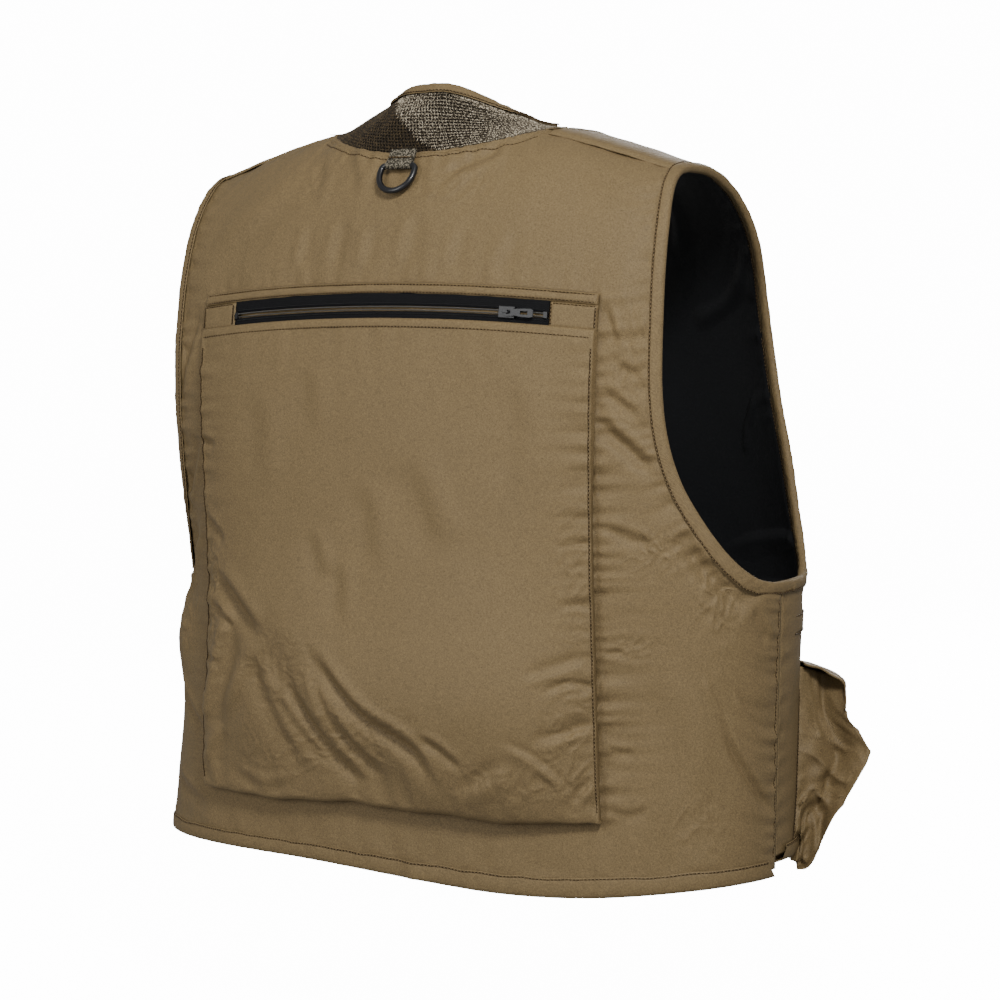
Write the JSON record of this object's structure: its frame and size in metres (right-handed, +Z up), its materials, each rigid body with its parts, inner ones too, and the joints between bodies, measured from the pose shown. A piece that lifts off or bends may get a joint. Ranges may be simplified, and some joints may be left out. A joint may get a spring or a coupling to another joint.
{
  "type": "fishing vest",
  "caption": "Sleeveless fishing vest with a zipped full back pocket, front bellows pockets with flaps, mesh collar, front zip and D-rings.",
  "frame": {"origin": "midway between the neck points of the two shoulder seams, where the vest rests on the wearer's shoulders", "axes": "+X to the wearer's left, +Y out of the wearer's back, +Z up"},
  "size_m": [0.6024, 0.3473, 0.6216],
  "materials": {
    "armhole_binding_left": "matte",
    "armhole_binding_right": "matte",
    "back_lining": "matte",
    "back_panel": "matte",
    "back_pocket_bag": "matte",
    "back_pocket_band": "matte",
    "chest_flap_left": "matte",
    "chest_flap_right": "matte",
    "chest_hook_left": "matte",
    "chest_hook_right": "matte",
    "chest_loop_left": "matte",
    "chest_loop_right": "matte",
    "chest_pocket_left": "matte",
    "chest_pocket_right": "matte",
    "collar_binding": "matte",
    "collar_mesh": "matte",
    "d_ring": "gloss",
    "d_ring_tab": "matte",
    "fly_patch": "matte",
    "front_d_ring": "gloss",
    "front_d_ring_tab": "matte",
    "front_facing_left": "matte",
    "front_facing_right": "matte",
    "front_lining_left": "matte",
    "front_lining_right": "matte",
    "front_panel_left": "matte",
    "front_panel_right": "matte",
    "front_zip_box": "gloss",
    "front_zip_coil_left": "satin",
    "front_zip_coil_right": "satin",
    "front_zip_pull": "gloss",
    "front_zip_slider": "gloss",
    "front_zip_stop_left": "gloss",
    "front_zip_stop_right": "gloss",
    "front_zip_tape_left": "matte",
    "front_zip_tape_right": "matte",
    "hem_band_back": "matte",
    "hem_band_left": "matte",
    "hem_band_right": "matte",
    "lower_flap_left": "matte",
    "lower_flap_right": "matte",
    "lower_hook_left": "matte",
    "lower_hook_right": "matte",
    "lower_loop_left": "matte",
    "lower_loop_right": "matte",
    "lower_pocket_left": "matte",
    "lower_pocket_right": "matte",
    "side_tab_left": "matte",
    "side_tab_right": "matte",
    "zip_coil_lower": "satin",
    "zip_coil_upper": "satin",
    "zip_end_patch_left": "matte",
    "zip_end_patch_right": "matte",
    "zip_pull": "gloss",
    "zip_slider": "gloss",
    "zip_stop_left": "gloss",
    "zip_stop_right": "gloss",
    "zip_tape_lower": "matte",
    "zip_tape_upper": "matte"
  },
  "bodies": {
    "vest": {"armhole_binding_left": "armhole_binding_left", "armhole_binding_right": "armhole_binding_right", "back_lining": "back_lining", "back_panel": "back_panel", "back_pocket_bag": "back_pocket_bag", "back_pocket_band": "back_pocket_band", "chest_loop_left": "chest_loop_left", "chest_loop_right": "chest_loop_right", "chest_pocket_left": "chest_pocket_left", "chest_pocket_right": "chest_pocket_right", "collar_binding": "collar_binding", "collar_mesh": "collar_mesh", "d_ring_tab": "d_ring_tab", "fly_patch": "fly_patch", "front_d_ring_tab": "front_d_ring_tab", "front_facing_left": "front_facing_left", "front_facing_right": "front_facing_right", "front_lining_left": "front_lining_left", "front_lining_right": "front_lining_right", "front_panel_left": "front_panel_left", "front_panel_right": "front_panel_right", "front_zip_box": "front_zip_box", "front_zip_coil_left": "front_zip_coil_left", "front_zip_coil_right": "front_zip_coil_right", "front_zip_stop_left": "front_zip_stop_left", "front_zip_stop_right": "front_zip_stop_right", "front_zip_tape_left": "front_zip_tape_left", "front_zip_tape_right": "front_zip_tape_right", "hem_band_back": "hem_band_back", "hem_band_left": "hem_band_left", "hem_band_right": "hem_band_right", "lower_loop_left": "lower_loop_left", "lower_loop_right": "lower_loop_right", "lower_pocket_left": "lower_pocket_left", "lower_pocket_right": "lower_pocket_right", "side_tab_left": "side_tab_left", "side_tab_right": "side_tab_right", "zip_coil_lower": "zip_coil_lower", "zip_coil_upper": "zip_coil_upper", "zip_end_patch_left": "zip_end_patch_left", "zip_end_patch_right": "zip_end_patch_right", "zip_stop_left": "zip_stop_left", "zip_stop_right": "zip_stop_right", "zip_tape_lower": "zip_tape_lower", "zip_tape_upper": "zip_tape_upper"},
    "zip_slider": {"zip_slider": "zip_slider"},
    "zip_pull": {"zip_pull": "zip_pull"},
    "front_zip_slider": {"front_zip_slider": "front_zip_slider"},
    "front_zip_pull": {"front_zip_pull": "front_zip_pull"},
    "d_ring": {"d_ring": "d_ring"},
    "front_d_ring": {"front_d_ring": "front_d_ring"},
    "chest_flap_left": {"chest_flap_left": "chest_flap_left", "chest_hook_left": "chest_hook_left"},
    "chest_flap_right": {"chest_flap_right": "chest_flap_right", "chest_hook_right": "chest_hook_right"},
    "lower_flap_left": {"lower_flap_left": "lower_flap_left", "lower_hook_left": "lower_hook_left"},
    "lower_flap_right": {"lower_flap_right": "lower_flap_right", "lower_hook_right": "lower_hook_right"}
  },
  "joints": [
    {"name": "zip_slide", "type": "hinge", "parent": "vest", "child": "zip_slider", "pos_m": [0, -0.51472, -0.42238], "axis": [0, 0.4187, -0.9081], "range_deg": [0, 20.5]},
    {"name": "zip_pull_swing", "type": "hinge", "parent": "zip_slider", "child": "zip_pull", "pos_m": [-0.11292, 0.10674, -0.13681], "axis": [0.0416, 0.1759, -0.9835], "range_deg": [0, 176]},
    {"name": "front_zip_slide", "type": "slide", "parent": "vest", "child": "front_zip_slider", "axis": [0, 0.0748, -0.9972], "range_m": [0, 0.289]},
    {"name": "front_zip_pull_swing", "type": "hinge", "parent": "front_zip_slider", "child": "front_zip_pull", "pos_m": [0, -0.17234, -0.24116], "axis": [-1, 0, 0], "range_deg": [-3, 168]},
    {"name": "d_ring_swing", "type": "hinge", "parent": "vest", "child": "d_ring", "pos_m": [0, 0.07688, -0.02478], "axis": [1, 0, 0], "range_deg": [0, 120]},
    {"name": "front_d_ring_swing", "type": "hinge", "parent": "vest", "child": "front_d_ring", "pos_m": [0.11928, -0.15649, -0.10955], "axis": [-0.9668, -0.2555, 0], "range_deg": [0, 95]},
    {"name": "chest_flap_left_lift", "type": "hinge", "parent": "vest", "child": "chest_flap_left", "pos_m": [0.11587, -0.16276, -0.16492], "axis": [-0.9712, -0.2383, -0.0002], "range_deg": [0, 95]},
    {"name": "chest_flap_right_lift", "type": "hinge", "parent": "vest", "child": "chest_flap_right", "pos_m": [-0.11588, -0.16276, -0.16492], "axis": [-0.9712, 0.2383, 0.0002], "range_deg": [0, 95]},
    {"name": "lower_flap_left_lift", "type": "hinge", "parent": "vest", "child": "lower_flap_left", "pos_m": [0.17738, -0.12428, -0.41701], "axis": [-0.8466, -0.5323, -0.0012], "range_deg": [0, 80]},
    {"name": "lower_flap_right_lift", "type": "hinge", "parent": "vest", "child": "lower_flap_right", "pos_m": [-0.19689, -0.1243, -0.41708], "axis": [-0.8702, 0.4927, 0.0001], "range_deg": [0, 80]}
  ]
}
